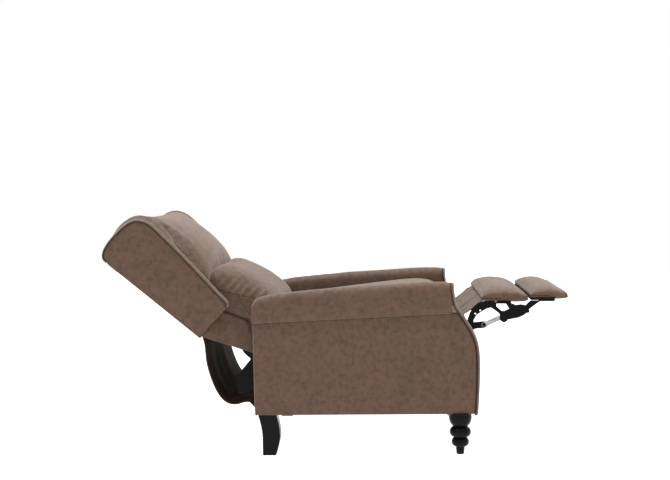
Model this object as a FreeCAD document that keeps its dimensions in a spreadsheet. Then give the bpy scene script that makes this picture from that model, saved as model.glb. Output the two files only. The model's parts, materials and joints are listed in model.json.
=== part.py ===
import FreeCAD, Part
import math
import os
import Sketcher

# Wing-back reclining armchair, drawn reclined with the footrest out.
# The chair faces -Y and the floor is Z = 0.  Side outlines are (forward, up)
# pairs in millimetres; the outlines of the back are (forward, up) in the frame
# of the back itself, whose zero is the lower rear corner of the wings.

doc = FreeCAD.newDocument("recliner")
V = FreeCAD.Vector

DIMENSIONS = {
    # overall
    "overall_width": 700.0, "arm_width": 80.0, "leg_height": 148.0,
    "underside": 148.0,          # height of the underside as the outlines are drawn
    "outline_datum": 191.0,      # zero of the side outlines, behind the origin
    # timber and upholstery
    "ply": 18.0, "board": 22.0, "panel": 12.0, "contact": 0.3,
    "leg_inset": 50.0, "leg_thickness": 42.0, "cap_height": 15.0,
    # mechanism
    "plate": 2.5, "layer_gap": 1.5, "side_clearance": 2.5, "pin_dia": 8.0,
    "pin_clearance": 0.05, "pin_head": 14.0, "open_pin": 5.0, "open_play": 6.0, "tube_dia": 18.0,
    "swing_length": 120.0, "swing_lean": 115.0,
    # back
    "back_lean": 51.2, "wing_thickness": 60.7, "post": 24.5,
    # footrest
    "pad_side_gap": 2.0,
}
dims = doc.addObject("Spreadsheet::Sheet", "Dims")
for row, (alias, value) in enumerate(DIMENSIONS.items(), start=1):
    dims.set(f"A{row}", alias)
    dims.set(f"B{row}", str(value))
    dims.setAlias(f"B{row}", alias)
doc.recompute()
DIM = DIMENSIONS

HALF_GAP = "(Dims.overall_width / 2 - Dims.arm_width)"
PITCH = "(Dims.plate + Dims.layer_gap)"
# inner faces of the mechanism's plate layers, outermost first
LAYER = {name: f"({HALF_GAP} - Dims.side_clearance - Dims.plate - {depth} * {PITCH})"
         for depth, name in enumerate(("bracket", "arm", "drive", "seat"))}
CHAIR_Y = "-Dims.outline_datum"
CHAIR_Z = "Dims.leg_height - Dims.underside"
SIDES = (("left", 1), ("right", -1))     # the sitter's left is +X
grouped = []

# pivots, (forward, up)
BACK_PIVOT = (-419.0, 255.0)
FRONT_SWING, REAR_SWING = (0.0, 250.0), (-260.0, 250.0)
DRIVE_PIVOT, DRIVE_END, DRIVE_MID = (195.0, 440.0), (330.7, 452.8), (285.26, 448.51)
BRACKET_PIVOT, BRACKET_OPEN, FLIP_PIVOT = (404.0, 485.0), (360.0, 528.0), (478.0, 504.0)
BACK_ORIGIN = (-677.4, 420.9)


def swing_seat(base):
    """Seat pivot of a swing link whose base pivot is given."""
    lean = math.radians(DIM["swing_lean"])
    return (base[0] + DIM["swing_length"] * math.cos(lean),
            base[1] + DIM["swing_length"] * math.sin(lean))


def to_back(point):
    """Chair outline point in the frame of the back."""
    lean = math.radians(DIM["back_lean"])
    ds, dz = point[0] - BACK_ORIGIN[0], point[1] - BACK_ORIGIN[1]
    return (ds * math.cos(lean) + dz * math.sin(lean), dz * math.cos(lean) - ds * math.sin(lean))


def place(obj, x="0", frame="chair"):
    """Put an object in the chair's frame or in the leaning frame of the back."""
    y, z = CHAIR_Y, CHAIR_Z
    if frame == "back":
        y = f"{CHAIR_Y} + {-BACK_ORIGIN[0]}"
        z = f"{CHAIR_Z} + {BACK_ORIGIN[1]}"
        obj.Placement = FreeCAD.Placement(
            V(0, 0, 0), FreeCAD.Rotation(V(-1, 0, 0), DIM["back_lean"]))
        obj.setExpression("Placement.Rotation.Angle", "Dims.back_lean * 1 deg")
    obj.setExpression("Placement.Base.x", x)
    obj.setExpression("Placement.Base.y", y)
    obj.setExpression("Placement.Base.z", z)


def new_body(label, x="0", frame="chair"):
    body = doc.addObject("PartDesign::Body", label)
    body.Label = label
    place(body, x, frame)
    return body


def plane(body, role):
    return next(f for f in body.Origin.OriginFeatures if f.Role == role)


def sketch_on(body, name, role="YZ_Plane"):
    sketch = body.newObject("Sketcher::SketchObject", f"{body.Label}_{name}")
    sketch.AttachmentSupport = [(plane(body, role), "")]
    sketch.MapMode = "FlatFace"
    return sketch


def arc_through(a, middle, b):
    """Anticlockwise arc through three points, and whether it starts at a."""
    centre = Part.Arc(a, middle, b).toShape().Curve.Center
    turn = (b - a).cross(middle - a).z
    first, last = (a, b) if turn < 0 else (b, a)
    begin = math.atan2(first.y - centre.y, first.x - centre.x)
    finish = math.atan2(last.y - centre.y, last.x - centre.x)
    if finish < begin:
        finish += 2 * math.pi
    circle = Part.Circle(centre, V(0, 0, 1), (a - centre).Length)
    return Part.ArcOfCircle(circle, begin, finish), turn < 0


def draw_loop(sketch, points, mirror=True):
    """Closed outline.  A point is (forward, up) or (forward, up, bulge), where
    bulge is the outward rise of the arc that runs on to the next point.
    Points run anticlockwise with forward to the right."""
    sign = -1.0 if mirror else 1.0
    corners = [V(sign * p[0], p[1], 0) for p in points]
    ends = []
    for i, point in enumerate(points):
        a, b = corners[i], corners[(i + 1) % len(points)]
        bulge = point[2] if len(point) > 2 else 0.0
        forwards = True
        if bulge:
            outward = V(b.y - a.y, a.x - b.x, 0).normalize() * sign
            curve, forwards = arc_through(a, (a + b) * 0.5 + outward * bulge, b)
        else:
            curve = Part.LineSegment(a, b)
        index = sketch.addGeometry(curve, False)
        ends.append((index, 1, 2) if forwards else (index, 2, 1))
    rules = []
    for i, (index, start, end) in enumerate(ends):
        after, after_start, _ = ends[(i + 1) % len(ends)]
        rules.append(Sketcher.Constraint("Coincident", index, end, after, after_start))
        rules.append(Sketcher.Constraint("DistanceX", -1, 1, index, start, corners[i].x))
        rules.append(Sketcher.Constraint("DistanceY", -1, 1, index, start, corners[i].y))
    sketch.addConstraint(rules)


def draw_circle(sketch, centre, diameter, mirror=True):
    """Circle whose diameter follows a dimension."""
    sign = -1.0 if mirror else 1.0
    size = FreeCAD.Units.Quantity(dims.evalExpression(diameter)).Value
    index = sketch.addGeometry(
        Part.Circle(V(sign * centre[0], centre[1], 0), V(0, 0, 1), size / 2), False)
    sketch.addConstraint(Sketcher.Constraint("DistanceX", -1, 1, index, 3, sign * centre[0]))
    sketch.addConstraint(Sketcher.Constraint("DistanceY", -1, 1, index, 3, centre[1]))
    rule = sketch.addConstraint(Sketcher.Constraint("Diameter", index, size))
    sketch.setExpression(f"Constraints[{rule}]", diameter)


def pad(body, sketch, length, feature="Pad", start="0"):
    """Extrude a sketch, optionally from a plane set off along its normal."""
    if start != "0":
        sketch.setExpression("AttachmentOffset.Base.z", start)
    solid = body.newObject(f"PartDesign::{feature}", f"{sketch.Label}_{feature.lower()}")
    solid.Profile = sketch
    solid.setExpression("Length", length)
    if feature == "Pocket":
        solid.Reversed = True
    sketch.Visibility = False
    return solid


def round_edges(body, radius, choose, feature="Fillet"):
    """Round or bevel the edges of the body's shape that the test picks."""
    doc.recompute()
    tip = body.Tip
    names = [f"Edge{i}" for i, edge in enumerate(tip.Shape.Edges, start=1) if choose(edge)]
    if not names:
        return
    dress = body.newObject(f"PartDesign::{feature}", f"{body.Label}_{feature.lower()}")
    dress.Base = (tip, names)
    if feature == "Fillet":
        dress.Radius = radius
    else:
        dress.Size = radius
    doc.recompute()
    if not dress.isValid() or dress.Shape.isNull():
        body.removeObject(dress)
        doc.removeObject(dress.Name)
        body.Tip = tip


def across(edge):
    """Edge that runs along X."""
    ends = [v.Point for v in edge.Vertexes]
    return len(ends) == 2 and abs(ends[0].x - ends[1].x) > 0.9 * edge.Length


def in_side(edge):
    """Edge that lies in a side face."""
    return not across(edge)


def side_x(side, inner, thickness):
    """Start of a slab on one side, from its inner face and thickness."""
    return inner if side > 0 else f"-({inner} + {thickness})"


def slab(label, outline, inner, thickness, side, frame="chair", holes=(), soften=0.0):
    """Flat part standing fore and aft: outline padded across the chair."""
    body = new_body(label, side_x(side, inner, thickness), frame)
    sketch = sketch_on(body, "outline")
    draw_loop(sketch, outline)
    for centre, diameter in holes:
        draw_circle(sketch, centre, diameter)
    pad(body, sketch, thickness)
    if soften:
        round_edges(body, soften, in_side)
    return body


def span(label, outline, half, frame="chair", soften=0.0, choose=in_side):
    """Part running right across the chair, symmetric about the middle."""
    body = new_body(label, f"-({half})", frame)
    sketch = sketch_on(body, "outline")
    draw_loop(sketch, outline)
    pad(body, sketch, f"2 * ({half})")
    if soften:
        round_edges(body, soften, choose)
    return body


def disc(body, name, centre, diameter, start, length):
    """Round boss or pin on a plate, from start along X."""
    sketch = sketch_on(body, name)
    draw_circle(sketch, centre, diameter)
    return pad(body, sketch, length, start=start)


def pin(body, name, centre, side, outward, size="Dims.pin_dia"):
    """Headed pin standing on a plate, through the next plate of the stack."""
    reach = f"({PITCH} + 0.1)"
    head = "(Dims.layer_gap - 0.3)"
    up = (side > 0) == outward
    shaft_at = "Dims.plate" if up else f"-{reach}"
    head_at = f"(Dims.plate + {reach})" if up else f"-({reach} + {head})"
    disc(body, f"{name}_pin", centre, size, shaft_at, reach)
    disc(body, f"{name}_head", centre, "Dims.pin_head", head_at, head)


def compound(label, members):
    """Several like pieces kept as one named part."""
    group = doc.addObject("Part::Compound", label)
    group.Label = label
    group.Links = members
    grouped.extend(members)


def box(outline_min, outline_max):
    """Rectangle from its lower rear to its upper front corner."""
    (s0, z0), (s1, z1) = outline_min, outline_max
    return [(s0, z0), (s1, z0), (s1, z1), (s0, z1)]


def bar(a, b, width):
    """Outline of a round-ended bar between two pivots."""
    length = math.hypot(b[0] - a[0], b[1] - a[1])
    ux, uz = (b[0] - a[0]) / length, (b[1] - a[1]) / length
    r = width / 2
    return [(a[0] + uz * r, a[1] - ux * r), (b[0] + uz * r, b[1] - ux * r, r),
            (b[0] - uz * r, b[1] + ux * r), (a[0] - uz * r, a[1] + ux * r, r)]


HOLE = "(Dims.pin_dia + 2 * Dims.pin_clearance)"
ARM_OUT = "(Dims.overall_width / 2)"
PLY_IN = "(Dims.overall_width / 2 - Dims.leg_inset)"

# ---------------------------------------------------------------- base and arms
PLY_OUTLINE = [(-475, 140), (-400, 140), (190, 148), (288, 148), (298, 336, 20), (214, 490),
               (-480, 455)]
CAP_OUTLINE = [(-480, 455), (214, 490), (214, 505), (-480, 470)]
ROLL_OUTLINE = [(-494, 470.3), (219.5, 506.3), (228, 530, 3), (219.5, 608, 7), (-460, 548, 10),
                (-496, 510)]
OUTER_OUTLINE = [(-485, 140), (-400, 140), (190, 148), (290, 148), (304.5, 160, 3), (311.6, 336, 21),
                 (231, 505.8), (-494, 469.3)]
INNER_OUTLINE = [(-470, 300), (284, 300), (291, 336, 18), (214, 490), (212, 504.9), (-470, 470)]
FRONT_OUTLINE = [(288.3, 149), (303, 160, 3), (311.6, 336, 21), (231, 505), (214.3, 504),
                 (214.3, 491, -20), (298.3, 336)]
REAR_LEG = [(-473, 140, -3), (-457, 62), (-456, 0), (-410, 0, 1.5), (-395, 64, 3), (-408, 140)]
REAR_RAIL = box((-477.7, 150), (-456, 210))
FRONT_RAIL = box((20, 150), (42, 200))
FLAP = [(-680, 408), (-673, 361), (-655, 271), (-612, 192), (-576, 172), (-529, 181), (-504, 163),
        (-479.2, 152)]

for name, side in SIDES:
    frame = slab(f"arm_frame_{name}", PLY_OUTLINE, PLY_IN, "Dims.ply", side)
    cap = sketch_on(frame, "cap")
    draw_loop(cap, CAP_OUTLINE)
    pad(frame, cap, "Dims.ply + Dims.cap_height", start="0" if side < 0 else "-Dims.cap_height")
    roll = slab(f"arm_roll_{name}", ROLL_OUTLINE, HALF_GAP, "Dims.arm_width", side)
    round_edges(roll, 22.0, lambda e: in_side(e) and e.BoundBox.ZMax > 540)
    slab(f"arm_outer_panel_{name}", OUTER_OUTLINE, f"({PLY_IN} + Dims.ply + Dims.contact)",
         "Dims.panel", side)
    inner = "(Dims.arm_width - Dims.leg_inset - Dims.cap_height - Dims.contact)"
    slab(f"arm_inner_panel_{name}", INNER_OUTLINE, HALF_GAP, inner, side)
    slab(f"arm_front_panel_{name}", FRONT_OUTLINE, HALF_GAP,
         "(Dims.arm_width - Dims.leg_inset + Dims.ply)", side)
    leg = slab(f"rear_leg_{name}", REAR_LEG, f"({PLY_IN} - 15)", "Dims.leg_thickness", side)
    round_edges(leg, 3.0, lambda e: e.BoundBox.ZMax - e.BoundBox.ZMin > 100)


def turned_leg(name, side):
    """Turned foot: cup, two rings and a tapering stem, lengthened in the cup."""
    body = new_body(f"front_leg_{name}", f"{side} * ({PLY_IN})")
    body.setExpression("Placement.Base.y", "-Dims.outline_datum - 243")
    body.setExpression("Placement.Base.z", "0")
    sketch = sketch_on(body, "profile", "XZ_Plane")
    draw_loop(sketch, [(0, 0), (12, 0, 1), (13.5, 3), (16.5, 28), (22, 28, 9), (22, 58), (24.5, 60),
                       (28, 62, 10), (28, 95), (25.5, 98, 6), (40, 140), (40, DIM["leg_height"]),
                       (0, DIM["leg_height"])], mirror=False)
    for rule, geometry in ((i, c.First) for i, c in enumerate(sketch.Constraints)
                           if c.Type == "DistanceY" and abs(c.Value - DIM["leg_height"]) < 1e-9):
        sketch.setExpression(f"Constraints[{rule}]", "Dims.leg_height")
    turned = body.newObject("PartDesign::Revolution", f"front_leg_{name}_turned")
    turned.Profile = sketch
    turned.ReferenceAxis = (sketch, ["V_Axis"])
    turned.Angle = 360.0
    sketch.Visibility = False


def corner_blocks():
    """Timber blocks glued inside the arm frames over the legs, clear of the footrest."""
    blocks = []
    depth = f"({PLY_IN} - {HALF_GAP} - 1)"
    for name, side in SIDES:
        for place_name, start, floor in (("rear", -455.7, 140), ("front", 203.0, 148)):
            block = doc.addObject("Part::Box", f"block_{place_name}_{name}")
            block.setExpression("Length", depth)
            block.setExpression("Width", "Dims.board * 3")
            block.setExpression("Height", "Dims.board * 2")
            block.setExpression("Placement.Base.x",
                                f"{PLY_IN} - {depth}" if side > 0 else f"-({PLY_IN})")
            block.setExpression("Placement.Base.y", f"{CHAIR_Y} - ({start}) - Dims.board * 3")
            block.setExpression("Placement.Base.z", f"{CHAIR_Z} + {floor}")
            blocks.append(block)
    compound("corner_blocks", blocks)


def mechanism_rail(name, side):
    """Folded steel channel screwed to the arm frame, with the pivot pins."""
    label = f"mechanism_rail_{name}"
    web = LAYER["arm"]
    body = new_body(label, side_x(side, web, "Dims.plate"))
    sketch = sketch_on(body, "web")
    draw_loop(sketch, [(-445, 218), (60, 218), (30, 272), (-10, 272), (-60, 240), (-220, 240),
                       (-250, 272), (-280, 272), (-300, 245), (-385, 245), (-405, 277), (-433, 277)])
    pad(body, sketch, "Dims.plate")
    width = f"({PLY_IN} - {web})"
    start = "0" if side > 0 else f"-({width} - Dims.plate)"
    floor = sketch_on(body, "floor")
    draw_loop(floor, box((-445, 215.5), (60, 218)))
    pad(body, floor, width, start=start)
    lip = sketch_on(body, "lip")
    draw_loop(lip, box((-445, 215.5), (60, 250)))
    lip_start = f"({width} - Dims.plate)"
    pad(body, lip, "Dims.plate", start=lip_start if side > 0 else f"-{lip_start}")
    for pin_name, at in (("back", BACK_PIVOT), ("front", FRONT_SWING), ("rear", REAR_SWING)):
        pin(body, pin_name, at, side, outward=False)


for name, side in SIDES:
    turned_leg(name, side)
    mechanism_rail(name, side)
corner_blocks()
span("rear_rail", REAR_RAIL, PLY_IN)
span("front_rail", FRONT_RAIL, PLY_IN)


def sheet_outline(path, thickness):
    """Thin closed outline along a path, offset to its left."""
    back = []
    for i, (s, z) in enumerate(path):
        before, after = path[max(i - 1, 0)], path[min(i + 1, len(path) - 1)]
        length = math.hypot(after[0] - before[0], after[1] - before[1])
        back.append((s - (after[1] - before[1]) / length * thickness,
                     z + (after[0] - before[0]) / length * thickness))
    return path + back[::-1]


span("rear_flap", sheet_outline(FLAP, 3.0), f"({HALF_GAP} - 20)")

# ---------------------------------------------------------------- seat
SEAT_FRONT, SEAT_REAR = swing_seat(FRONT_SWING), swing_seat(REAR_SWING)
CUSHION = [(-325, 461), (192, 461, 3), (197, 535, 12), (165, 572, 8), (81, 588), (-150, 553.5),
           (-325, 529)]
DECK = box((-318, 430.3), (158, 460.7))
RAIL_IN = f"({LAYER['seat']} - Dims.board)"
for name, side in SIDES:
    slab(f"seat_side_rail_{name}", box((-320, 392), (182, 430)), RAIL_IN, "Dims.board", side)
    plate_outline = [(SEAT_REAR[0] - 14, SEAT_REAR[1]), (SEAT_REAR[0] - 10, SEAT_REAR[1] - 11, 4),
                     (SEAT_REAR[0] + 10, SEAT_REAR[1] - 11), (-240, 395),
                     (-110, 395), (SEAT_FRONT[0] - 10, SEAT_FRONT[1] - 11, 4),
                     (SEAT_FRONT[0] + 10, SEAT_FRONT[1] - 11), (10, 395), (150, 400), (205, 427),
                     (209, 440, 12), (181, 442), (170, 430), (-320, 430), (-324, 400)]
    plate = slab(f"seat_plate_{name}", plate_outline, LAYER["seat"], "Dims.plate", side,
                 holes=((DRIVE_PIVOT, "(Dims.tube_dia + 2 * Dims.pin_clearance)"),))
    for pin_name, at in (("front", SEAT_FRONT), ("rear", SEAT_REAR)):
        pin(plate, pin_name, at, side, outward=True)
for swing, base in (("front", FRONT_SWING), ("rear", REAR_SWING)):
    links = [slab(f"{swing}_swing_link_{name}", bar(base, swing_seat(base), 28), LAYER["drive"],
                  "Dims.plate", side, holes=((base, HOLE), (swing_seat(base), HOLE)))
             for name, side in SIDES]
    compound(f"{swing}_swing_links", links)
span("seat_front_rail", box((160, 392), (182, 430)), RAIL_IN)
span("seat_rear_rail", box((-320, 392), (-298, 430)), RAIL_IN)
span("seat_deck", DECK, f"({LAYER['seat']} - Dims.contact)")
cushion = span("seat_cushion", CUSHION, f"({HALF_GAP} - 1)")
round_edges(cushion, 12.0, lambda e: in_side(e) and e.BoundBox.ZMin > 462)
span("front_flap", sheet_outline([(196.2, 474), (258, 486), (309, 527)], 3.0), f"({HALF_GAP} - 30)")

# ---------------------------------------------------------------- back
PIVOT_LOCAL = to_back(BACK_PIVOT)
WING = [(0, 0), (144, -9), (152, 2, 1), (165.5, 85), (178.5, 182), (189, 277), (198.5, 352, 3),
        (195, 406, 4), (179, 433, 4), (150, 449, 3), (86, 456, 1), (36, 452, 3), (12, 443, 4), (0, 425)]
HEAD = [(50.3, 103), (214, 103, 8), (240, 145, 5), (247, 240, 8), (232, 345, 12), (195, 405, 10),
        (120, 432, 3), (50.3, 428)]
LUMBAR = [(50.3, -92), (250, -96, 10), (283, -60, 6), (270, 35, 6), (244, 85, 6), (225, 102.4),
          (50.3, 102.4)]
LOWER = [(9, -42), (42, -176), (58, -215), (79, -215), (83, -198), (89, -150), (93, -96), (50, -96),
         (50, -42)]
BRACKET = [(16, 60), (16, -70), (42, -140), (36, -157), (34, -189), (-46.7, -189, 6),
           (-91, -240.7, 4), (-50, -262.9), (12, -262), (14, -306, 18), (52, -306), (62, -262),
           (66, -200), (66, -125), (50, -100), (50, 60)]
INSIDE = f"({LAYER['drive']} + Dims.plate)"
POST_OUT = f"({INSIDE} + Dims.post)"
WING_IN = f"({ARM_OUT} - 5 - Dims.wing_thickness)"
for name, side in SIDES:
    slab(f"back_bracket_{name}", BRACKET, LAYER["drive"], "Dims.plate", side, "back",
         holes=((PIVOT_LOCAL, HOLE),))
    slab(f"back_post_{name}", box((14, 5), (50, 405)), INSIDE, "Dims.post", side, "back")
    slab(f"wing_{name}", WING, WING_IN, "Dims.wing_thickness", side, "back")
for name, low, high in (("back_top_rail", 375, 405), ("back_middle_rail", 88, 118)):
    span(name, box((14, low), (50, high)), INSIDE, "back")
span("back_low_rail", box((14, -40), (50, -10)), LAYER["drive"], "back")
span("back_outer_panel", box((0, 0), (13.7, 425)), f"({WING_IN} - Dims.contact)", "back")
round_edges(span("head_cushion", HEAD, f"({WING_IN} - Dims.contact)", "back"), 12.0,
            lambda e: in_side(e) and e.BoundBox.ZMin > 520)
round_edges(span("lumbar_cushion", LUMBAR, f"({HALF_GAP} - 2)", "back"), 12.0,
            lambda e: in_side(e) and e.BoundBox.YMax < 340)
span("lower_back_pad", LOWER, f"({LAYER['drive']} - 0.5)", "back")

# ---------------------------------------------------------------- footrest
OPEN_HOLE = "(Dims.open_pin + 2 * Dims.open_play)"
ARM_LINK = [(275, 446), (285, 437, 9), (296, 449), (293, 468), (304, 488), (338, 510), (360, 516, 12),
            (360, 540), (336, 537), (309, 532), (290, 515), (279, 494), (270, 468)]
OTTOMAN = [(346, 531), (346, 520), (362, 511), (384, 495), (389, 484, 16), (416, 472), (450, 478, 2),
           (484, 496, 8), (488, 510), (478, 524), (462, 527), (446, 524), (428, 531), (428, 535),
           (346, 535)]
WINDOW = [(375, 529), (375, 519), (394, 503), (404, 503), (421, 511), (409, 529)]
FLIPPER = [(467, 502, 11), (489, 505), (528, 534), (534, 537), (586, 537), (586, 539.7), (499, 539.7),
           (488, 530), (476, 516)]
for name, side in SIDES:
    drive = slab(f"drive_link_{name}", bar(DRIVE_PIVOT, DRIVE_END, 24), LAYER["drive"],
                 "Dims.plate", side)
    for pin_name, at in (("end", DRIVE_END), ("middle", DRIVE_MID)):
        pin(drive, pin_name, at, side, outward=True)
    slab(f"silver_link_{name}", bar(DRIVE_END, BRACKET_PIVOT, 17), LAYER["arm"], "Dims.plate",
         side, holes=((DRIVE_END, HOLE), (BRACKET_PIVOT, HOLE)))
    slab(f"arm_link_{name}", ARM_LINK, LAYER["arm"], "Dims.plate", side,
         holes=((DRIVE_MID, HOLE), (BRACKET_OPEN, OPEN_HOLE), ((299.6, 492.6), "6"),
                ((317.3, 504.1), "6")))
    bracket = slab(f"ottoman_bracket_{name}", OTTOMAN, LAYER["bracket"], "Dims.plate", side)
    window = sketch_on(bracket, "window")
    draw_loop(window, WINDOW)
    pad(bracket, window, "Dims.plate + 2", feature="Pocket", start="-1")
    flange = sketch_on(bracket, "flange")
    draw_loop(flange, box((378, 531.5), (428, 535)))
    reach = "(Dims.plate + 30)"
    pad(bracket, flange, reach, start="-30" if side > 0 else "0")
    pin(bracket, "pivot", BRACKET_PIVOT, side, outward=False)
    pin(bracket, "open", BRACKET_OPEN, side, outward=False, size="Dims.open_pin")
    pin(bracket, "flip", FLIP_PIVOT, side, outward=False)
    flip = slab(f"flipper_link_{name}", FLIPPER, LAYER["drive"], "Dims.plate", side,
                holes=((FLIP_PIVOT, HOLE),))
    flange = sketch_on(flip, "flange")
    draw_loop(flange, box((530, 537.2), (586, 539.7)))
    pad(flip, flange, reach, start="-30" if side > 0 else "0")
tube = new_body("drive_tube", f"-({LAYER['drive']})")
round_tube = sketch_on(tube, "ring")
draw_circle(round_tube, DRIVE_PIVOT, "Dims.tube_dia")
draw_circle(round_tube, DRIVE_PIVOT, "(Dims.tube_dia - 4)")
pad(tube, round_tube, f"2 * {LAYER['drive']}")
PAD_HALF = f"({HALF_GAP} - Dims.pad_side_gap)"
FLIP_HALF = f"({LAYER['drive']} - Dims.pad_side_gap)"
span("ottoman_board", box((335, 535), (482, 545)), f"({FLIP_HALF} - 5)")
span("flipper_board", box((502, 540), (588, 550)), f"({FLIP_HALF} - 5)")
span("ottoman_pad", [(327, 545.3), (490, 545.3, 4), (488, 560, 8), (470, 578, 3), (345, 576, 8),
                     (328, 558, 3)], PAD_HALF)
span("flipper_pad", [(502, 550.3), (632, 550.3, 2), (630, 562, 8), (612, 580, 3), (520, 581, 8),
                     (503, 565, 2)], FLIP_HALF)

# ---------------------------------------------------------------- output
doc.recompute()
os.makedirs("parts", exist_ok=True)
nodes = [o for o in doc.Objects
         if o.TypeId in ("PartDesign::Body", "Part::Compound") and o not in grouped]
for item in doc.Objects:
    if "Invalid" in item.State or "Error" in item.State:
        raise RuntimeError(f"{item.Label} did not rebuild")
for node in nodes:
    shape = node.Shape
    if shape.isNull() or not shape.isValid() or not shape.Solids:
        raise RuntimeError(f"{node.Label} is not a valid solid")
    shape.exportStep(os.path.join("parts", f"{node.Label}.step"))
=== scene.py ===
import json
import math

import bpy
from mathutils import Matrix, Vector


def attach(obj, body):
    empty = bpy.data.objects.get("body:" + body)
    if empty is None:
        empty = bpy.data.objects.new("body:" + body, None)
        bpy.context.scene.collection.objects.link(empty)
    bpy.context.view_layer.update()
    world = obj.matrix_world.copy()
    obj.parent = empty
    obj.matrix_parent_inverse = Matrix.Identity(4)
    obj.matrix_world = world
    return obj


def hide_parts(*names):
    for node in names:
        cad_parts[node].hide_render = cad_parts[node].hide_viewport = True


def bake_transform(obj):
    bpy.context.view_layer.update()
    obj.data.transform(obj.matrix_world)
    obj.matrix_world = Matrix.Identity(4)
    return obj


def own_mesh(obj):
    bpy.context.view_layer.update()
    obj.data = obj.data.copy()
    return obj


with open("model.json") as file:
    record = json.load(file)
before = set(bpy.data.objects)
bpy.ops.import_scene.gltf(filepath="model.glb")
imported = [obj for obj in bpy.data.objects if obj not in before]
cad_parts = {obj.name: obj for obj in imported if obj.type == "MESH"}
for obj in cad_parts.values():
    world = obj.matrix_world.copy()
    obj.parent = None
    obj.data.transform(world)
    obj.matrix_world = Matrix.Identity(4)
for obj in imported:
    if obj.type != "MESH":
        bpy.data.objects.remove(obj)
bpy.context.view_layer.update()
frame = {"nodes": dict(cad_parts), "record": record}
SIDES = (("left", 1), ("right", -1))

# ------------------------------------------------------------------ places
# Side outlines are (forward, up) in millimetres from the outline zero, which
# lies OUTLINE_ZERO behind the origin.  Back outlines use the leaning frame of
# the back, whose zero is the lower rear corner of the wings.
OUTLINE_ZERO = 191.0
BACK_ZERO = (-677.4, 420.9)
BACK_LEAN = math.radians(51.2)


def at(x, forward, up):
    """Chair point in metres."""
    return Vector((x, -(forward + OUTLINE_ZERO), up)) / 1000


def on_back(x, forward, up):
    """Point given in the frame of the back."""
    c, s = math.cos(BACK_LEAN), math.sin(BACK_LEAN)
    return at(x, BACK_ZERO[0] + forward * c - up * s, BACK_ZERO[1] + forward * s + up * c)


def blend_value(a, b, t):
    """Value a share t of the way from a to b."""
    return a + (b - a) * t


def ease(t):
    """Soft step from 0 to 1."""
    t = min(max(t, 0.0), 1.0)
    return t * t * (3 - 2 * t)


def along(points, t):
    """Smooth point at t (0 to 1) of a given run of points."""
    n = len(points) - 1
    f = min(max(t, 0.0), 1.0) * n
    i = min(int(f), n - 1)
    f -= i
    p0, p1 = points[max(i - 1, 0)], points[i]
    p2, p3 = points[i + 1], points[min(i + 2, n)]
    return tuple(
        0.5 * (2 * b + (c - a) * f + (2 * a - 5 * b + 4 * c - d) * f * f
               + (3 * b - a - 3 * c + d) * f ** 3)
        for a, b, c, d in zip(p0, p1, p2, p3))


# ------------------------------------------------------------------ hand tools
WELD = 0.00005             # metres


def deselect():
    if bpy.context.mode != "OBJECT":
        bpy.ops.object.mode_set(mode="OBJECT")
    bpy.ops.object.select_all(action="DESELECT")


def pick(obj):
    deselect()
    obj.select_set(True)
    bpy.context.view_layer.objects.active = obj


def finish_mesh(obj, angle=40.0):
    """Weld doubles, turn faces outwards, shade smooth up to an angle."""
    pick(obj)
    bpy.ops.object.mode_set(mode="EDIT")
    bpy.ops.mesh.select_all(action="SELECT")
    bpy.ops.mesh.remove_doubles(threshold=WELD)
    bpy.ops.mesh.normals_make_consistent(inside=False)
    bpy.ops.object.mode_set(mode="OBJECT")
    bpy.ops.object.shade_smooth_by_angle(angle=math.radians(angle))
    return obj


def apply_modifiers(obj):
    pick(obj)
    for modifier in list(obj.modifiers):
        bpy.ops.object.modifier_apply(modifier=modifier.name)
    return obj


def grid(name, across, up, place):
    """Grid primitive whose points are set by place(u, v)."""
    deselect()
    bpy.ops.mesh.primitive_grid_add(x_subdivisions=across, y_subdivisions=up, size=1)
    obj = bpy.context.object
    obj.name = name
    for vertex in obj.data.vertices:
        vertex.co = place(vertex.co.x + 0.5, vertex.co.y + 0.5)
    return obj


def close_ends(obj):
    """Fill every open border of a mesh."""
    pick(obj)
    bpy.ops.object.mode_set(mode="EDIT")
    bpy.ops.mesh.select_all(action="SELECT")
    bpy.ops.mesh.remove_doubles(threshold=WELD)
    bpy.ops.mesh.select_mode(type="EDGE")
    bpy.ops.mesh.select_all(action="DESELECT")
    bpy.ops.mesh.select_non_manifold()
    bpy.ops.mesh.edge_face_add()
    bpy.ops.object.mode_set(mode="OBJECT")
    return obj


def outline_distance(outline, a, b):
    """Distance from a point to a closed outline."""
    best = 1e9
    for (x0, y0), (x1, y1) in zip(outline, outline[1:] + outline[:1]):
        dx, dy = x1 - x0, y1 - y0
        t = ((a - x0) * dx + (b - y0) * dy) / ((dx * dx + dy * dy) or 1)
        t = min(max(t, 0.0), 1.0)
        best = min(best, math.hypot(a - x0 - dx * t, b - y0 - dy * t))
    return best


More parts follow.
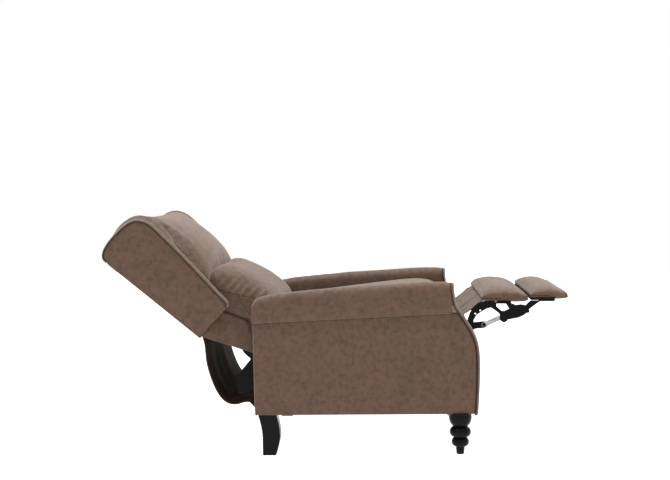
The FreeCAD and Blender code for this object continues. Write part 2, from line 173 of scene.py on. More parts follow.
def panel(name, rear, front, place, depth, puff=3.0, edge=5.0, across=40, up=40, reach=60.0):
    """Upholstered panel between a rear and a front edge line, each a run of
    (a, b) points from bottom to top.  Its face is rounded over at the rim and
    padded towards the middle; place(a, b, c) sets each point."""
    deselect()
    bpy.ops.mesh.primitive_grid_add(x_subdivisions=across, y_subdivisions=up, size=1)
    obj = bpy.context.object
    obj.name = name

    def spread(t):
        return blend_value(t, 0.5 - 0.5 * math.cos(math.pi * t), 0.7)

    rim = [along(rear, spread(i / 60)) for i in range(61)]
    rim += [along(front, spread(1 - i / 60)) for i in range(61)]
    for vertex in obj.data.vertices:
        u, v = spread(vertex.co.x + 0.5), spread(vertex.co.y + 0.5)
        (a0, b0), (a1, b1) = along(rear, v), along(front, v)
        vertex.co = (blend_value(a0, a1, u), blend_value(b0, b1, u), 0)
    bpy.ops.object.mode_set(mode="EDIT")
    bpy.ops.mesh.select_all(action="SELECT")
    bpy.ops.mesh.extrude_region_move(TRANSFORM_OT_translate={"value": (0, 0, depth)})
    bpy.ops.object.mode_set(mode="OBJECT")
    for vertex in obj.data.vertices:
        a, b, c = vertex.co
        if c > 0:
            off = outline_distance(rim, a, b)
            turn = 1 - min(off / edge, 1.0)
            c = depth - edge * (1 - math.sqrt(max(1 - turn * turn, 0.0)))
            c += puff * ease(off / reach)
        vertex.co = place(a, b, c)
    return finish_mesh(obj)


def tube(name, points, radius, closed=False, sides=10):
    """Round cord along points in metres."""
    deselect()
    bpy.ops.curve.primitive_bezier_curve_add()
    obj = bpy.context.object
    obj.name = name
    curve = obj.data
    curve.splines.clear()
    curve.dimensions = "3D"
    spline = curve.splines.new("POLY")
    spline.points.add(len(points) - 1)
    for point, place in zip(spline.points, points):
        point.co = (*place, 1)
    spline.use_cyclic_u = closed
    curve.bevel_depth = radius / 1000
    curve.bevel_resolution = max(1, sides // 4)
    curve.use_fill_caps = not closed
    bpy.ops.object.convert(target="MESH")
    obj = bpy.context.object
    return finish_mesh(obj, 60.0)


SIMULATED_FRAMES = 18
CLOTH_STIFFNESS = 6.0


def blow_up(obj, pressure, cap):
    """Run a closed form as stuffed cloth; no point moves further than cap, in mm."""
    start = [v.co.copy() for v in obj.data.vertices]
    cloth = obj.modifiers.new("stuffed", "CLOTH")
    settings = cloth.settings
    settings.quality = 5
    settings.mass = 0.2
    settings.use_pressure = True
    settings.uniform_pressure_force = pressure
    settings.tension_stiffness = CLOTH_STIFFNESS
    settings.compression_stiffness = CLOTH_STIFFNESS
    settings.shear_stiffness = CLOTH_STIFFNESS / 2
    settings.bending_stiffness = 0.3
    settings.effector_weights.gravity = 0
    scene = bpy.context.scene
    for step in range(1, SIMULATED_FRAMES + 1):
        scene.frame_set(step)
    apply_modifiers(obj)
    scene.frame_set(1)
    for vertex, place in zip(obj.data.vertices, start):
        move = vertex.co - place
        if move.length > cap / 1000:
            vertex.co = place + move.normalized() * cap / 1000


def inflate(obj, voxel, pressure, cap):
    """Even out a closed form at voxel mm, stuff it, then smooth it by one subdivision."""
    pick(obj)
    remesh = obj.modifiers.new("even", "REMESH")
    remesh.mode = "VOXEL"
    remesh.voxel_size = voxel / 1000
    apply_modifiers(obj)
    blow_up(obj, pressure, cap)
    smooth = obj.modifiers.new("smooth", "SMOOTH")
    smooth.factor = 0.5
    smooth.iterations = 2
    subdivision = obj.modifiers.new("fine", "SUBSURF")
    subdivision.levels = subdivision.render_levels = 1
    apply_modifiers(obj)
    pick(obj)
    bpy.ops.object.shade_smooth()
    return obj


def on_surface(obj, points, lift=0.0):
    """Points moved to the nearest place on a mesh, lift metres above it."""
    placed = []
    for point in points:
        found, place, normal, _ = obj.closest_point_on_mesh(point)
        placed.append(place + normal * lift if found else point)
    return placed


def crease(obj, depth):
    """Push each point of a mesh out along its normal by depth(place) in mm."""
    normals = [v.normal.copy() for v in obj.data.vertices]
    for vertex, normal in zip(obj.data.vertices, normals):
        vertex.co += normal * depth(vertex.co) / 1000
    return obj


def back_place(co):
    """Forward and up of a point in the frame of the back, in mm."""
    c, s = math.cos(BACK_LEAN), math.sin(BACK_LEAN)
    forward = -co.y * 1000 - OUTLINE_ZERO - BACK_ZERO[0]
    up = co.z * 1000 - BACK_ZERO[1]
    return forward * c + up * s, up * c - forward * s


def paint(obj, material):
    """Give a piece one material."""
    obj.data.materials.clear()
    obj.data.materials.append(material)
    return obj


# ------------------------------------------------------------------ finishes
def new_material(name):
    """Material with one principled shader, and its object coordinates."""
    material = bpy.data.materials.new(name)
    material.use_nodes = True
    tree = material.node_tree
    tree.nodes.clear()
    out = tree.nodes.new("ShaderNodeOutputMaterial")
    shader = tree.nodes.new("ShaderNodeBsdfPrincipled")
    tree.links.new(shader.outputs["BSDF"], out.inputs["Surface"])
    coords = tree.nodes.new("ShaderNodeTexCoord")
    return material, tree, shader, coords.outputs["Object"]


def noise_at(tree, coords, scale, detail=4.0, rough=0.55, stretch=None, offset=(0, 0, 0)):
    """Noise on the object coordinates, a value from 0 to 1."""
    mapping = tree.nodes.new("ShaderNodeMapping")
    mapping.inputs["Location"].default_value = offset
    if stretch:
        mapping.inputs["Scale"].default_value = stretch
    tree.links.new(coords, mapping.inputs["Vector"])
    node = tree.nodes.new("ShaderNodeTexNoise")
    node.inputs["Scale"].default_value = scale
    node.inputs["Detail"].default_value = detail
    node.inputs["Roughness"].default_value = rough
    tree.links.new(mapping.outputs["Vector"], node.inputs["Vector"])
    return node.outputs["Fac"]


def ramp(tree, factor, stops):
    """Colour ramp from (position, colour) stops."""
    node = tree.nodes.new("ShaderNodeValToRGB")
    elements = node.color_ramp.elements
    while len(elements) < len(stops):
        elements.new(0.5)
    for element, (position, colour) in zip(elements, stops):
        element.position = position
        element.color = (*colour, 1)
    tree.links.new(factor, node.inputs["Fac"])
    return node.outputs["Color"]


def mix(tree, factor, a, b, kind="MIX"):
    """Mix of two colours by a number."""
    node = tree.nodes.new("ShaderNodeMix")
    node.data_type = "RGBA"
    node.blend_type = kind
    node.inputs["Factor"].default_value = factor
    tree.links.new(a, node.inputs[6])
    tree.links.new(b, node.inputs[7])
    return node.outputs[2]


def bump(tree, shader, heights):
    """Chain of bumps: (height, distance in mm, strength)."""
    normal = None
    for height, distance, strength in heights:
        node = tree.nodes.new("ShaderNodeBump")
        node.inputs["Distance"].default_value = distance / 1000
        node.inputs["Strength"].default_value = strength
        tree.links.new(height, node.inputs["Height"])
        if normal:
            tree.links.new(normal, node.inputs["Normal"])
        normal = node.outputs["Normal"]
    tree.links.new(normal, shader.inputs["Normal"])


def suede(name, base, dark, warm, sheen=0.35):
    """Brushed brown faux suede with worn, cloudy patches."""
    material, tree, shader, coords = new_material(name)
    clouds = noise_at(tree, coords, 16.0, 5.0, 0.6)
    patches = noise_at(tree, coords, 52.0, 4.0, 0.66, offset=(3.1, 1.7, 0.4))
    blush = noise_at(tree, coords, 9.0, 3.0, 0.5, offset=(7.3, 2.2, 5.1))
    grain = noise_at(tree, coords, 900.0, 3.0, 0.6)
    nap = noise_at(tree, coords, 260.0, 4.0, 0.6)
    colour = ramp(tree, clouds, [(0.36, dark), (0.5, base), (0.66, warm)])
    spots = ramp(tree, patches, [(0.34, (0.74, 0.75, 0.76)), (0.52, (1.0, 1.0, 1.0)),
                                 (0.70, (1.08, 1.08, 1.07))])
    colour = mix(tree, 1.0, colour, spots, "MULTIPLY")
    redden = ramp(tree, blush, [(0.42, (0.995, 1.0, 1.005)), (0.62, (1.02, 0.995, 0.985))])
    colour = mix(tree, 1.0, colour, redden, "MULTIPLY")
    fine = ramp(tree, grain, [(0.3, (0.88, 0.88, 0.88)), (0.7, (1.08, 1.08, 1.08))])
    colour = mix(tree, 1.0, colour, fine, "MULTIPLY")
    tree.links.new(colour, shader.inputs["Base Color"])
    worn = ramp(tree, patches, [(0.35, (0.72,) * 3), (0.7, (0.54,) * 3)])
    tree.links.new(worn, shader.inputs["Roughness"])
    shader.inputs["Sheen Weight"].default_value = sheen
    shader.inputs["Sheen Roughness"].default_value = 0.45
    shader.inputs["Sheen Tint"].default_value = (0.86, 0.78, 0.72, 1)
    shader.inputs["Specular IOR Level"].default_value = 0.22
    bump(tree, shader, [(nap, 0.35, 0.35), (grain, 0.15, 0.4), (patches, 0.8, 0.12)])
    return material


def painted(name, colour, rough, grain_mm, specular):
    """Painted or lacquered surface with orange peel and light wear."""
    material, tree, shader, coords = new_material(name)
    peel = noise_at(tree, coords, 420.0, 3.0)
    wear = noise_at(tree, coords, 45.0, 6.0, 0.65, offset=(1, 2, 3))
    tone = ramp(tree, wear, [(0.35, tuple(c * 0.8 for c in colour)), (0.6, colour),
                             (0.82, tuple(min(1, c * 1.5 + 0.004) for c in colour))])
    tree.links.new(tone, shader.inputs["Base Color"])
    gloss = ramp(tree, wear, [(0.3, (rough * 0.85,) * 3), (0.75, (min(1, rough * 1.25),) * 3)])
    tree.links.new(gloss, shader.inputs["Roughness"])
    shader.inputs["Specular IOR Level"].default_value = specular
    bump(tree, shader, [(peel, grain_mm, 0.25)])
    return material


def brushed_zinc(name):
    """Zinc-plated steel with fine drawn lines."""
    material, tree, shader, coords = new_material(name)
    lines = noise_at(tree, coords, 240.0, 3.0, 0.6, stretch=(1, 0.08, 0.3))
    tone = ramp(tree, lines, [(0.3, (0.22, 0.23, 0.24)), (0.7, (0.40, 0.40, 0.40))])
    tree.links.new(tone, shader.inputs["Base Color"])
    gloss = ramp(tree, lines, [(0.3, (0.42,) * 3), (0.7, (0.30,) * 3)])
    tree.links.new(gloss, shader.inputs["Roughness"])
    shader.inputs["Metallic"].default_value = 1.0
    bump(tree, shader, [(lines, 0.04, 0.3)])
    return material


def sawn_timber(name):
    """Pale frame timber, unfinished."""
    material, tree, shader, coords = new_material(name)
    rings = noise_at(tree, coords, 30.0, 5.0, 0.6, stretch=(1.0, 0.12, 1.0))
    tone = ramp(tree, rings, [(0.3, (0.33, 0.20, 0.10)), (0.55, (0.55, 0.38, 0.22)),
                              (0.75, (0.64, 0.47, 0.29))])
    tree.links.new(tone, shader.inputs["Base Color"])
    shader.inputs["Roughness"].default_value = 0.7
    bump(tree, shader, [(rings, 0.3, 0.4)])
    return material


THREAD_SCALE = 314.0 / 1.2 / 2     # threads 1.2 mm apart


def woven(name, colour):
    """Thin woven lining."""
    material, tree, shader, coords = new_material(name)
    threads = []
    for axis in ("X", "Y"):
        wave = tree.nodes.new("ShaderNodeTexWave")
        wave.wave_type = "BANDS"
        wave.bands_direction = axis
        wave.inputs["Scale"].default_value = THREAD_SCALE
        wave.inputs["Distortion"].default_value = 0.6
        tree.links.new(coords, wave.inputs["Vector"])
        threads.append(wave.outputs["Fac"])
    height = mix(tree, 0.5, *threads)
    clouds = noise_at(tree, coords, 20.0, 4.0)
    tone = ramp(tree, clouds, [(0.3, tuple(c * 0.7 for c in colour)), (0.7, colour)])
    tone = mix(tree, 0.3, tone, height, "MULTIPLY")
    tree.links.new(tone, shader.inputs["Base Color"])
    shader.inputs["Roughness"].default_value = 0.85
    shader.inputs["Specular IOR Level"].default_value = 0.2
    bump(tree, shader, [(height, 0.2, 0.4)])
    return material


SUEDE = suede("brown_suede", (0.094, 0.0535, 0.034), (0.083, 0.0480, 0.0310), (0.100, 0.0560, 0.0352))
# Near-black suede for the piping cords and seam lines: the cords are real, their near-black colour is
# painted shade of the grooves beside the seams.
SEAM_SHADE_SUEDE = suede("piping_shade_suede", (0.022, 0.011, 0.007), (0.016, 0.009, 0.006), (0.028, 0.014, 0.009),
                     sheen=0.1)
LINING = woven("dark_lining", (0.027, 0.012, 0.006))
CAMBRIC = woven("black_cambric", (0.012, 0.012, 0.012))
BLACK_LACQUER = painted("black_lacquer", (0.003, 0.003, 0.003), 0.22, grain_mm=0.03, specular=0.09)
BLACK_STEEL = painted("black_steel", (0.003, 0.003, 0.003), 0.34, grain_mm=0.06, specular=0.08)
ZINC = brushed_zinc("zinc_steel")
TIMBER = sawn_timber("raw_timber")

FINISH_OF_SLOT = {"timber": TIMBER, "black_wood": BLACK_LACQUER, "black_steel": BLACK_STEEL,
                  "zinc_steel": ZINC, "upholstery": SUEDE}
for part in frame["record"]["subparts"]:
    paint(frame["nodes"][part["node"]], FINISH_OF_SLOT[part["material_slot"]])
for node in ("ottoman_board", "flipper_board", "seat_deck"):
    paint(frame["nodes"][node], CAMBRIC)


def own(obj, body, material, *nodes):
    """Paint a piece, let it ride on a body and stand for CAD nodes."""
    paint(obj, material)
    if nodes:
        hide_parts(*nodes)
    if body:
        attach(obj, body)
    return obj


# ------------------------------------------------------------------ arms
FRONT_EDGE = [(304, 141), (307, 170), (311, 250), (311.6, 336), (306, 389), (289, 435),
              (260, 482), (231, 526), (224.4, 547), (219, 580), (217.5, 606)]
PIPING_SET = 10.5          # the piping lies this far behind the front panel
SIDE_PANEL_FACE = 318.5    # where the padding of the outer side panel starts, from the middle
INNER_PANEL_FACE = 284.5
ARM_OUTSIDE, ARM_INSIDE = 331, 270.5
SHOULDER = 34              # the front panel narrows over this height at its top
ROLL_REAR, ROLL_FRONT = -496, 212


def inset_along(points, t, inset):
    """Point at t of a run of points, set in square to the run."""
    a, b = along(points, t)
    before, after = along(points, max(t - 0.01, 0)), along(points, min(t + 0.01, 1))
    da, db = after[0] - before[0], after[1] - before[1]
    length = math.hypot(da, db) or 1
    return a - db / length * inset, b + da / length * inset


def front_edge(t, inset=0.0):
    return inset_along(FRONT_EDGE, t, inset)


ROLL_TOP = [(-497, 520), (-495, 532), (-488, 546), (-476, 555), (-457, 560.5), (-404, 570.5),
            (-285, 582.5), (-167, 593), (-19, 602), (70, 608.5), (129, 611), (188, 611), (212, 606)]


def roll_top(s):
    """Height of the arm's top line, a long gentle arch."""
    for (s0, z0), (s1, z1) in zip(ROLL_TOP, ROLL_TOP[1:]):
        if s <= s1 or (s1, z1) == ROLL_TOP[-1]:
            return blend_value(z0, z1, min(max((s - s0) / (s1 - s0), 0.0), 1.0))


def seam_height(s):
    """Height of the seam under the roll."""
    return blend_value(466, 503, (s + 490) / 712)


for side_name, side in SIDES:
    # outer side panel, below the seam under the roll
    rear_line = [(-484, 141), (-487, 200), (-489.5, 290), (-492, 380), (-494, seam_height(-494))]
    front_line = [front_edge(0.02 + 0.64 * i / 12, PIPING_SET) for i in range(13)]
    side_panel = panel(f"arm_side_{side_name}", rear_line, front_line,
                       lambda a, b, c: at(side * (SIDE_PANEL_FACE + c), a, b), 11.0, puff=4.5, edge=5.0,
                       across=64, up=44)
    own(side_panel, "base", SUEDE, f"arm_outer_panel_{side_name}")

    # inner side panel
    inner_panel = panel(f"arm_inner_{side_name}", [(-468, 300), (-468, 380), (-468, 468)],
                        [(284, 301), (292, 336), (272, 400), (240, 450), (212, 502)],
                        lambda a, b, c: at(side * (INNER_PANEL_FACE - c), a, b), 11.0, puff=2.5, edge=4.0)
    own(inner_panel, "base", SUEDE, f"arm_inner_panel_{side_name}")

    # padded roll along the top of the arm
    def roll_point(u, v, side=side):
        closer = blend_value(0.5 - 0.5 * math.cos(math.pi * v), v, ease(2 * v))
        s = blend_value(ROLL_REAR, ROLL_FRONT, closer)
        low, top = seam_height(s), roll_top(s)
        full = top - low
        ring = [(331, low - 1), (338, low + 3), (345, low + 0.2 * full), (348.5, low + 0.45 * full),
                (348.5, low + 0.62 * full), (344.5, top - 0.19 * full), (334, top - 0.062 * full),
                (318, top), (302, top), (286, top - 0.062 * full), (275, top - 0.19 * full),
                (271, low + 0.55 * full), (271, low + 0.16 * full), (272, low + 1), (288, low - 1),
                (331, low - 1)]
        x, z = along(ring, u)
        return at(side * x, s, z)

    roll = close_ends(grid(f"arm_roll_{side_name}_cover", 60, 70, roll_point))
    finish_mesh(roll, 50)
    own(roll, "base", SUEDE, f"arm_roll_{side_name}")
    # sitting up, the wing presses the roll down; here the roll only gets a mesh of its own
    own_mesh(roll)

    # front panel of the arm, with a soft forward belly
    def widths(z):
        """Outer and inner edge of the front panel at a height."""
        shoulder = FRONT_EDGE[-1][1] - SHOULDER
        outer = ARM_OUTSIDE + 17 * ease((z - 500) / 30)
        inner = ARM_INSIDE
        if z > shoulder:
            rise = (z - shoulder) / SHOULDER
            shrink = 30 * (1 - math.sqrt(max(1 - rise * rise, 0.0)))
            outer -= shrink
            inner += shrink
        return outer, inner

    def front_point(u, v, side=side):
        s, z = front_edge(v, PIPING_SET)
        s2, z2 = front_edge(v, 0.0)
        outer, inner = widths(z)
        belly = math.sin(math.pi * u) ** 0.5
        return at(side * blend_value(outer, inner, u), blend_value(s, s2, belly), blend_value(z, z2, belly))

    front_panel = grid(f"arm_front_{side_name}", 16, 70, front_point)
    solid = front_panel.modifiers.new("cloth", "SOLIDIFY")
    solid.thickness = 0.004
    solid.offset = 0
    apply_modifiers(front_panel)
    finish_mesh(front_panel, 50)
    own(front_panel, "base", SUEDE, f"arm_front_panel_{side_name}")

    # piping round the front panel; its near-black suede is painted shade of the groove along the piping
    line = []
    for i in range(61):
        s, z = front_edge(0.02 + 0.98 * i / 60, PIPING_SET)
        line.append(at(side * (widths(z)[0] + 1.2), s + 0.5, z))
    for i in range(60, -1, -1):
        s, z = front_edge(0.02 + 0.98 * i / 60, PIPING_SET)
        line.append(at(side * (widths(z)[1] - 0.5), s + 0.5, z))
    piping = tube(f"arm_piping_{side_name}", line, 2.6)
    own(piping, "base", SEAM_SHADE_SUEDE)

    # rear strip of the arm
    rear_strip = panel(f"arm_rear_{side_name}", [(273, 141), (273, 250), (273, 468)],
                       [(330, 141), (330, 250), (330, 468)],
                       lambda a, b, c: at(side * a, -478 - c - (b - 140) * 0.018, b), 6.0, puff=2.0,
                       edge=4.0, across=12, up=30, reach=25)
    own(rear_strip, "base", SUEDE)

# ------------------------------------------------------------------ wings
WING_FRONT = [(141, -10), (151, -4), (157, 10), (161, 45), (167, 88), (173.5, 135), (180, 182), (186, 230),
              (191, 277), (196.5, 325), (200, 362), (199.5, 390), (193, 414), (180, 434), (161, 447),
              (136, 455), (110, 459), (85, 461.5), (58, 462), (33, 459.5), (11, 452), (-3, 439), (-6, 422)]


def wing_edge(t, inset=0.0):
    return inset_along(WING_FRONT, t, inset)


BAND_SET = 7.0             # the shell and the piping lie this far inside the band
CROWN = 0.74               # where the front line of the wing ends and its rear line begins
WING_OUTSIDE, WING_INSIDE = 342, 284

for side_name, side in SIDES:
    front_line = [(137, -8.5), (143, -5)]
    front_line += [wing_edge(0.08 + (CROWN - 0.08) * i / 20, BAND_SET) for i in range(21)]
    rear_line = [(-3, -1.5), (-4.5, 4), (-4.5, 100), (-4.5, 220), (-4.5, 340), (-4.5, 405)]
    rear_line += [wing_edge(1 - (1 - CROWN) * i / 10, 5.0) for i in range(11)]
    shell = panel(f"wing_{side_name}_shell", rear_line, front_line,
                  lambda a, b, c: on_back(side * (322 + c), a, b), 20.0, puff=3.5, edge=4.0,
                  across=36, up=70)
    own(shell, "back", SUEDE, f"wing_{side_name}")

    def band_point(u, v, side=side):
        """Band across the wing's edge; its inner side stands up along the top."""
        belly = math.sin(math.pi * min(u * 1.25, 1.0)) ** 0.6 if u < 0.8 else 0.0
        inward = ease((u - 0.25) / 0.5)
        rise = 15 * inward * ease((v - 0.34) / 0.08) * (1 - ease((v - 0.70) / 0.14))
        tuck = 6 * ease((u - 0.8) / 0.2) + 4 * inward * (1 - ease((v - 0.3) / 0.1))
        n, e = wing_edge(v, BAND_SET * (1 - belly) - rise + tuck)
        return on_back(side * blend_value(WING_OUTSIDE, WING_INSIDE, u), n, e)

    band = grid(f"wing_{side_name}_band", 16, 90, band_point)
    solid = band.modifiers.new("cloth", "SOLIDIFY")
    solid.thickness = 0.005
    solid.offset = 0
    apply_modifiers(band)
    finish_mesh(band, 50)
    own(band, "back", SUEDE)
    # piping round the wing; its near-black suede is painted shade of the groove along the piping
    line = []
    for i in range(97):
        n, e = wing_edge(i / 96, 6.4)
        line.append(on_back(side * 343.4, n, e))
    own(tube(f"wing_{side_name}_piping", line, 2.3), "back", SEAM_SHADE_SUEDE)

# ------------------------------------------------------------------ back
def loft(name, side_line, middle_line, half, place, shape, across=64, up=96, ripple=None):
    """Stuffed form between a side outline and a fuller middle outline."""
    def point(u, v):
        x = blend_value(-half, half, 0.5 - 0.5 * math.cos(math.pi * blend_value(0.04, 0.96, v)))
        x *= 1 / math.cos(0.04 * math.pi)
        edge = min(abs(x) / half, 1.0)
        share = shape(edge)
        a0, b0 = along(side_line, u)
        a1, b1 = along(middle_line, u)
        a, b = blend_value(a0, a1, share), blend_value(b0, b1, share)
        if ripple:
            a += ripple(u, edge, b)
        return place(x, a, b)

    form = close_ends(grid(name, up, across, point))
    finish_mesh(form, 180)
    return form


def dome(power, sharp):
    """Share of fullness from the middle (1) to the edge (0) of a stuffed form."""
    return lambda edge: max(1 - edge ** power, 0.0) ** sharp


HEAD_SIDE = [(60, 94), (110, 90), (142, 91), (161, 102), (173, 140), (181, 200), (187, 240), (193, 290),
             (199, 340), (204, 380), (202, 412), (190, 440), (160, 456), (110, 462), (50, 460), (20, 448),
             (14, 400), (30, 250), (60, 94)]
HEAD_MIDDLE = [(60, 110), (120, 110), (180, 114), (210, 134), (225, 164), (231, 200), (233, 240),
               (232, 285), (227, 330), (216, 374), (202, 413), (181, 442), (137, 464), (80, 466), (32, 456),
               (14, 420), (10, 360), (30, 250), (60, 110)]


def head_ripple(u, edge, e):
    """Shallow valley down each side of the head cushion."""
    valley = -1.5 * math.exp(-((edge - 0.72) / 0.07) ** 2)
    return valley * ease((e - 100) / 60) * ease((400 - e) / 90)


head = loft("head_cushion_cover", HEAD_SIDE, HEAD_MIDDLE, 285, on_back, dome(2.6, 0.7), ripple=head_ripple)
inflate(head, voxel=6.0, pressure=1.6, cap=8.0)
own(head, "back", SUEDE, "head_cushion")

LUMBAR_SIDE = [(62, 60), (104, 0), (112, -30), (132, -86), (150, -128), (178, -158), (206, -160),
               (232, -138), (236, -110), (222, -77), (206, -46), (188, -8), (178, 30), (174, 60), (172, 80),
               (158, 88), (120, 88), (62, 60)]
LUMBAR_MIDDLE = [(62, 60), (96, 0), (104, -40), (120, -90), (146, -136), (186, -170), (236, -172),
                 (254, -142), (262, -98), (263, -58), (259, -18), (251, 22), (241, 60), (231, 92),
                 (220, 114), (204, 126), (150, 120), (62, 60)]
SEAM = [(150, 78), (153, 66), (170, 30), (188, -8), (206, -46), (222, -77), (234, -108)]


def gathers(co):
    """Puckers that run up from the side seams of the lumbar pillow."""
    n, e = back_place(co)
    above = (n - 153) * 0.80 + (e - 66) * 0.38
    near = ease((abs(co.x) * 1000 - 205) / 45)
    if above < -4 or e < -100 or near == 0:
        return 0.0
    reach = math.exp(-((above - 10) / 26) ** 2)
    return 2.8 * near * reach * math.sin(e * 0.235 + 0.6 * math.sin(e * 0.05)) * ease((90 - e) / 30)


lumbar = loft("lumbar_cushion_cover", LUMBAR_SIDE, LUMBAR_MIDDLE, 264, on_back, dome(5.5, 0.5))
inflate(lumbar, voxel=5.5, pressure=1.6, cap=8.0)
crease(lumbar, gathers)
own(lumbar, "back", SUEDE, "lumbar_cushion")
# seam and dart lines on the lumbar pillow, in near-black suede that is painted shade of the creases along
# them
seam_shade_lines = []
DART = [(186, -10), (172, -44), (158, -90)]
LUMBAR_SIDE_FACE = 268
for side_name, side in SIDES:
    line = [on_back(side * LUMBAR_SIDE_FACE, *along(SEAM, i / 30)) for i in range(31)]
    seam_shade_lines.append(tube(f"lumbar_seam_{side_name}", on_surface(lumbar, line), 1.0, sides=6))
    line = [on_back(side * LUMBAR_SIDE_FACE, *along(DART, i / 12)) for i in range(13)]
    seam_shade_lines.append(tube(f"lumbar_dart_{side_name}", on_surface(lumbar, line), 0.8, sides=6))
for seam in seam_shade_lines:
    own(seam, "back", SEAM_SHADE_SUEDE)
# sitting up, the seat pushes the foot of the pillow upwards; here the pillow and its seams only get meshes
# of their own
for piece in [lumbar] + seam_shade_lines:
    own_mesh(piece)

LOWER_REAR = [(-4, 14), (-12, -3), (9, -62), (31, -118), (53, -176), (64, -205)]
LOWER_FRONT = [(100, 14), (106, -12), (120, -52), (130, -90), (118, -120), (97, -150), (86, -190)]
for side_name, side in SIDES:
    slab_side = panel(f"lower_back_side_{side_name}", LOWER_REAR, LOWER_FRONT,
                      lambda a, b, c: on_back(side * (252 + c), a, b), 11.0, puff=2.5, edge=5.0,
                      across=24, up=34, reach=40)
    own(slab_side, "back", SUEDE)


def lower_point(u, v):
    n, e = along(LOWER_REAR + LOWER_FRONT[::-1] + LOWER_REAR[:1], u)
    return on_back(blend_value(-253, 253, v), n, e)


lower = close_ends(grid("lower_back_cover", 60, 30, lower_point))
finish_mesh(lower, 40)
own(lower, "back", SUEDE, "lower_back_pad")

back_panel = panel("back_panel_cover", [(-283, -2), (-283, 220), (-283, 440)],
                   [(283, -2), (283, 220), (283, 440)],
                   lambda a, b, c: on_back(a, 8.0 - c, b), 10.0, puff=4.0, edge=4.0, across=50)
own(back_panel, "back", SUEDE, "back_outer_panel")

# ------------------------------------------------------------------ seat
SEAT_SIDE = [(-330, 470), (-200, 463), (60, 462), (170, 462), (190, 470), (197, 500), (195, 530),
             (180, 546), (140, 556), (60, 556), (-40, 544), (-140, 530), (-240, 516), (-318, 506),
             (-333, 490), (-330, 470)]
SEAT_MIDDLE = [(-330, 470), (-200, 463), (60, 462), (170, 462), (192, 470), (199, 510), (196, 545),
               (174, 563), (134, 575), (81, 577), (0, 570), (-110, 557), (-230, 542), (-310, 530),
               (-333, 500), (-330, 470)]
seat = loft("seat_cushion_cover", SEAT_SIDE, SEAT_MIDDLE, 266, at, dome(2.6, 0.8))
inflate(seat, voxel=7.0, pressure=2.0, cap=7.0)
own(seat, "seat", SUEDE, "seat_cushion")
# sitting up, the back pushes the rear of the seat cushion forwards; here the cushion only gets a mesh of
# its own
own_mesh(seat)

# ------------------------------------------------------------------ footrest pads
def footrest_pad(name, rear, front, floor, crown, half, body, *nodes):
    rise = crown - floor
    middle = [(rear + 5, floor), (front - 9, floor), (front - 2, floor + 4), (front, floor + 11),
              (front - 4, floor + 19), (front - 17, floor + 0.58 * rise), (front - 42, floor + 0.86 * rise),
              (blend_value(rear, front, 0.52), crown), (blend_value(rear, front, 0.32), crown - 1),
              (rear + 17, floor + 0.76 * rise), (rear + 2, floor + 15), (rear, floor + 6),
              (rear + 5, floor)]
    side = [(a, floor + (b - floor) * (0.48 if b > floor + 20 else 0.95)) for a, b in middle]
    cushion = loft(name, side, middle, half, at, dome(5.5, 0.6), across=60, up=60)
    inflate(cushion, voxel=4.5, pressure=1.6, cap=4.0)
    own(cushion, body, SUEDE, *nodes)
    # seam line round the rear of the pad, in near-black suede that is painted shade of the crease along it
    seam = [at(-half + 0.5, s, floor + 9) for s in range(rear + 70, rear + 4, -8)]
    seam += [at(x, rear + 0.8, floor + 9) for x in range(-half + 4, half - 3, 8)]
    seam += [at(half - 0.5, s, floor + 9) for s in range(rear + 6, rear + 72, 8)]
    own(tube(f"{name}_seam", on_surface(cushion, seam, 0.0004), 1.2, sides=8), body, SEAM_SHADE_SUEDE)
    return cushion


footrest_pad("ottoman_pad_cover", 321, 491, 538, 583, 266, "ottoman", "ottoman_pad")
footrest_pad("flipper_pad_cover", 499, 637, 547, 584, 253, "flipper", "flipper_pad")

# ------------------------------------------------------------------ hanging cloth
FRONT_FLAP = [(199, 470), (226, 480), (258, 491), (290, 513), (322, 537), (338, 547)]


FRONT_FLAP_HALF, REAR_FLAP_HALF = 246, 262


def flap_point(u, v):
    s, z = along(FRONT_FLAP, v)
    x = blend_value(-FRONT_FLAP_HALF, FRONT_FLAP_HALF, u)
    fold = 2.5 * math.sin(v * math.pi) * math.sin(u * 9.0 + v * 2.0)
    fold += 5.0 * math.exp(-((u - 0.30 - 0.05 * v) / 0.02) ** 2) * math.sin(v * math.pi)
    return at(x, s + fold * 0.6, z - fold)


front_flap = grid("front_flap_cloth", 60, 20, flap_point)
own(front_flap, None, SUEDE, "front_flap")

REAR_FLAP = [(-682, 412), (-674, 378), (-669, 322), (-658, 276), (-642, 232), (-624, 199), (-604, 179),
             (-585, 172), (-563, 172), (-541, 178), (-519, 178), (-503, 166), (-487, 148)]


# folds of the hanging cloth: place across it, half width (both as shares), depth in mm
POUCH_FOLDS = [(0.06, 0.05, 5), (0.13, 0.03, -5), (0.21, 0.05, 6), (0.36, 0.06, -6), (0.62, 0.08, 7)]


def pouch_point(u, v):
    s, z = along(REAR_FLAP, v)
    x = blend_value(-REAR_FLAP_HALF, REAR_FLAP_HALF, u)
    sag = 5 * math.sin(v * math.pi) * math.sin(u * 7.0 + 1.0)
    for middle, width, depth in POUCH_FOLDS:
        wander = middle + 0.05 * math.sin(v * 5 + middle * 20)
        sag += depth * math.exp(-((u - wander) / width) ** 2) * ease(v * 5) * ease((1 - v) * 4)
    return at(x, s + sag, z - sag * 0.5)


rear_flap = grid("rear_flap_cloth", 60, 50, pouch_point)
own(rear_flap, None, SUEDE, "rear_flap")


def run_length(points):
    """Length of a smooth run of points, in metres."""
    fine = [along(points, i / 200) for i in range(201)]
    return sum(math.dist(a, b) for a, b in zip(fine, fine[1:])) / 1000


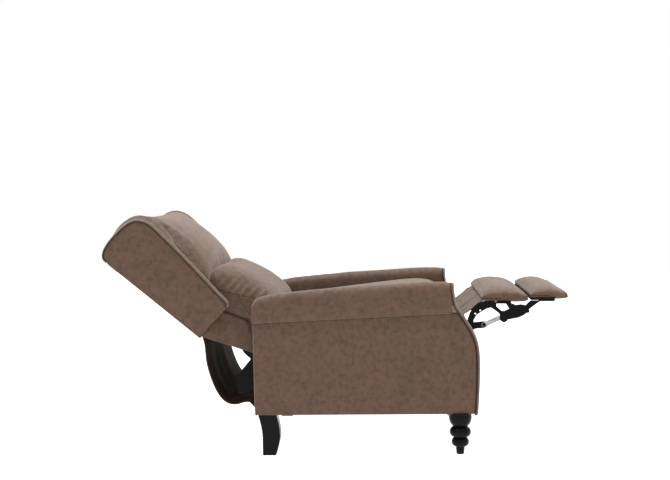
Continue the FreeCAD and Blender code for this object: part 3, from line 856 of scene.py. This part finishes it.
for cloth in (front_flap, rear_flap):
    solid = cloth.modifiers.new("cloth", "SOLIDIFY")
    solid.thickness = 0.003
    solid.offset = 0
    if cloth is rear_flap:
        cloth.data.materials.append(LINING)
        solid.material_offset = 1
    apply_modifiers(cloth)
    finish_mesh(cloth, 60)
run_length(FRONT_FLAP)
run_length(REAR_FLAP)
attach(front_flap, "ottoman")
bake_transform(rear_flap)

# ------------------------------------------------------------------ stage
deselect()
bpy.ops.mesh.primitive_plane_add(size=14)
floor = bpy.context.object
floor.name = "studio_floor"
floor_material, tree, shader, _ = new_material("pale_floor")
shader.inputs["Base Color"].default_value = (0.5, 0.5, 0.5, 1)
shader.inputs["Roughness"].default_value = 0.9
shader.inputs["Emission Color"].default_value = (1, 1, 1, 1)
shader.inputs["Emission Strength"].default_value = 1.0
paint(floor, floor_material)


def softbox(name, place, aim, size, power):
    """Rectangular lamp at a place, turned to an aim."""
    bpy.ops.object.light_add(type="AREA", location=place)
    lamp = bpy.context.object
    lamp.name = name
    lamp.data.shape = "RECTANGLE"
    lamp.data.size, lamp.data.size_y = size
    lamp.data.energy = power
    lamp.rotation_euler = (Vector(aim) - Vector(place)).to_track_quat("-Z", "Y").to_euler()


softbox("overhead", (0.2, 0.0, 3.2), (0, 0, 0.4), (3.4, 3.0), 105)
softbox("key_side", (-3.4, -1.6, 1.9), (0, -0.1, 0.5), (2.0, 1.6), 2)
softbox("front_fill", (-2.0, 3.2, 1.6), (0, 0, 0.5), (2.0, 1.6), 2)

world = bpy.data.worlds.new("studio")
bpy.context.scene.world = world
world.use_nodes = True
background = world.node_tree.nodes["Background"]
background.inputs["Color"].default_value = (1, 1, 1, 1)
background.inputs["Strength"].default_value = 1.0
bpy.context.scene.view_settings.view_transform = "Standard"

bpy.ops.object.camera_add(location=(-3.95, -0.191, 0.966))
camera = bpy.context.object
camera.name = "studio_camera"
camera.data.sensor_width = 36.0
camera.data.lens = 55.1
camera.data.shift_x = -0.0851
camera.data.shift_y = -0.0866
camera.rotation_euler = (math.radians(90), 0, math.radians(-90))
bpy.context.scene.camera = camera
